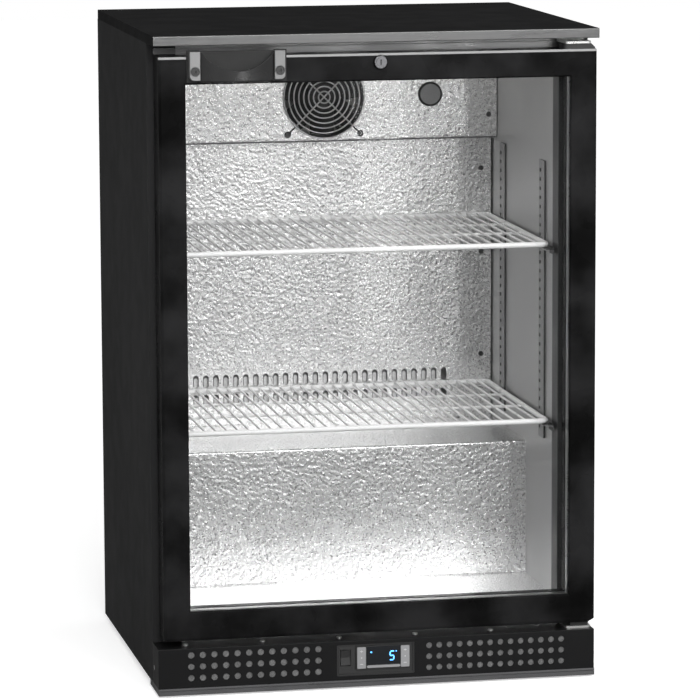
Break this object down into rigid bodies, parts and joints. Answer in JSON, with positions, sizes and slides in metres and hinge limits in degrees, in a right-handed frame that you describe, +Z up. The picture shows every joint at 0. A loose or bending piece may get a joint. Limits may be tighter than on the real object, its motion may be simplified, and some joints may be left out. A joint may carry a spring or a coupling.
{
  "type": "undercounter refrigerator",
  "caption": "Undercounter back-bar refrigerator with a black foamed steel cabinet, a hinged glass door, wire shelves, a fan evaporator and a perforated plinth with its controls.",
  "frame": {"origin": "on the floor under the centre of the whole machine, handle and rear spacers included", "axes": "+X to the right of someone facing the door, +Y to the back, +Z up"},
  "size_m": [0.6, 0.535, 0.885],
  "materials": {
    "worktop_black": "satin",
    "trim_steel": "satin",
    "rail_steel": "satin",
    "shell_black": "satin",
    "galvanised_steel": "satin",
    "rail_grey": "satin",
    "rubber_black": "matte",
    "plastic_black": "matte",
    "fan_grey": "matte",
    "cap_grey": "matte",
    "insulation_foam": "matte",
    "liner_aluminium": "satin",
    "rail_aluminium": "satin",
    "liner_stucco": "satin",
    "guard_wire": "satin",
    "plug_grey": "matte",
    "coil_aluminium": "satin",
    "lamp_diffuser": "satin",
    "wire_white": "gloss",
    "plinth_black": "satin",
    "filter_grey": "matte",
    "key_grey": "matte",
    "screen_dark": "gloss",
    "zinc_screws": "satin",
    "compressor_black": "satin",
    "copper_tube": "satin",
    "door_frame_black": "gloss",
    "door_glass": "gloss",
    "spacer_aluminium": "satin",
    "handle_black": "satin",
    "handle_plate_grey": "satin",
    "screw_black": "satin",
    "lock_chrome": "polished"
  },
  "bodies": {
    "cabinet": {"worktop": "worktop_black", "worktop_trim": "trim_steel", "front_top_rail": "rail_steel", "side_panel_left": "shell_black", "side_panel_right": "shell_black", "back_panel": "galvanised_steel", "rear_grille": "galvanised_steel", "base_pan": "galvanised_steel", "base_rails": "rail_grey", "glide_feet": "rubber_black", "compressor_mounts": "rubber_black", "hinge_blank_cap": "cap_grey", "control_panel": "plastic_black", "cable_gland": "plastic_black", "rear_spacers": "plastic_black", "controller_body": "plastic_black", "evaporator_fan_frame": "fan_grey", "foam_insulation": "insulation_foam", "liner_left": "liner_aluminium", "liner_right": "liner_aluminium", "liner_back_top": "liner_aluminium", "shelf_supports": "liner_aluminium", "shelf_rails": "rail_aluminium", "duct_panel": "liner_stucco", "evaporator_cover": "liner_stucco", "liner_floor_step": "liner_stucco", "fan_guard": "guard_wire", "cover_plug": "plug_grey", "evaporator_coil": "coil_aluminium", "condenser_coil": "coil_aluminium", "light_bar": "lamp_diffuser", "grille_panel": "plinth_black", "intake_filter": "filter_grey", "controller_screen": "screen_dark", "pan_head_screws": "zinc_screws", "hinge_bracket_top": "zinc_screws", "hinge_bracket_bottom": "zinc_screws", "compressor": "compressor_black", "condenser_fan_shroud": "compressor_black", "refrigerant_lines": "copper_tube"},
    "door": {"door_rail_bottom": "door_frame_black", "door_rail_top": "door_frame_black", "door_stile_left": "door_frame_black", "door_stile_right": "door_frame_black", "glass_panes": "door_glass", "glass_spacer": "spacer_aluminium", "door_gasket": "rubber_black", "handle_body": "handle_black", "handle_end_plates": "handle_plate_grey", "handle_screws": "screw_black", "lock_housing": "lock_chrome", "hinge_bushes": "plastic_black"},
    "lock_barrel": {"lock_barrel": "lock_chrome"},
    "evaporator_fan": {"evaporator_fan": "fan_grey"},
    "condenser_fan": {"condenser_fan": "plastic_black"},
    "light_rocker": {"light_rocker": "plastic_black"},
    "controller_key_left": {"controller_key_left": "key_grey"},
    "controller_key_right": {"controller_key_right": "key_grey"},
    "shelf_upper": {"shelf_upper": "wire_white"},
    "shelf_lower": {"shelf_lower": "wire_white"}
  },
  "joints": [
    {"name": "door_hinge", "type": "hinge", "parent": "cabinet", "child": "door", "pos_m": [0.282, -0.228, 0.465], "axis": [0, 0, 1], "range_deg": [0, 110]},
    {"name": "lock_turn", "type": "hinge", "parent": "door", "child": "lock_barrel", "pos_m": [0.0048, -0.24, 0.8449], "axis": [0, -1, 0], "range_deg": [0, 90]},
    {"name": "evaporator_fan_spin", "type": "hinge", "parent": "cabinet", "child": "evaporator_fan", "pos_m": [0.0075, 0.17, 0.7625], "axis": [0, 1, 0], "continuous": true},
    {"name": "condenser_fan_spin", "type": "hinge", "parent": "cabinet", "child": "condenser_fan", "pos_m": [-0.177, 0.11, 0.1132], "axis": [0, 1, 0], "continuous": true},
    {"name": "light_rocker_tilt", "type": "hinge", "parent": "cabinet", "child": "light_rocker", "pos_m": [-0.0447, -0.242, 0.04215], "axis": [1, 0, 0], "range_deg": [-16, 0]},
    {"name": "key_left_press", "type": "slide", "parent": "cabinet", "child": "controller_key_left", "axis": [0, 1, 0], "range_m": [0, 0.0006], "stiffness_N_per_m": 800},
    {"name": "key_right_press", "type": "slide", "parent": "cabinet", "child": "controller_key_right", "axis": [0, 1, 0], "range_m": [0, 0.0006], "stiffness_N_per_m": 800},
    {"name": "shelf_upper_lift", "type": "slide", "parent": "cabinet", "child": "shelf_upper", "axis": [0, 0, 1], "range_m": [0, 0.09]},
    {"name": "shelf_lower_lift", "type": "slide", "parent": "cabinet", "child": "shelf_lower", "axis": [0, 0, 1], "range_m": [0, 0.2]}
  ]
}
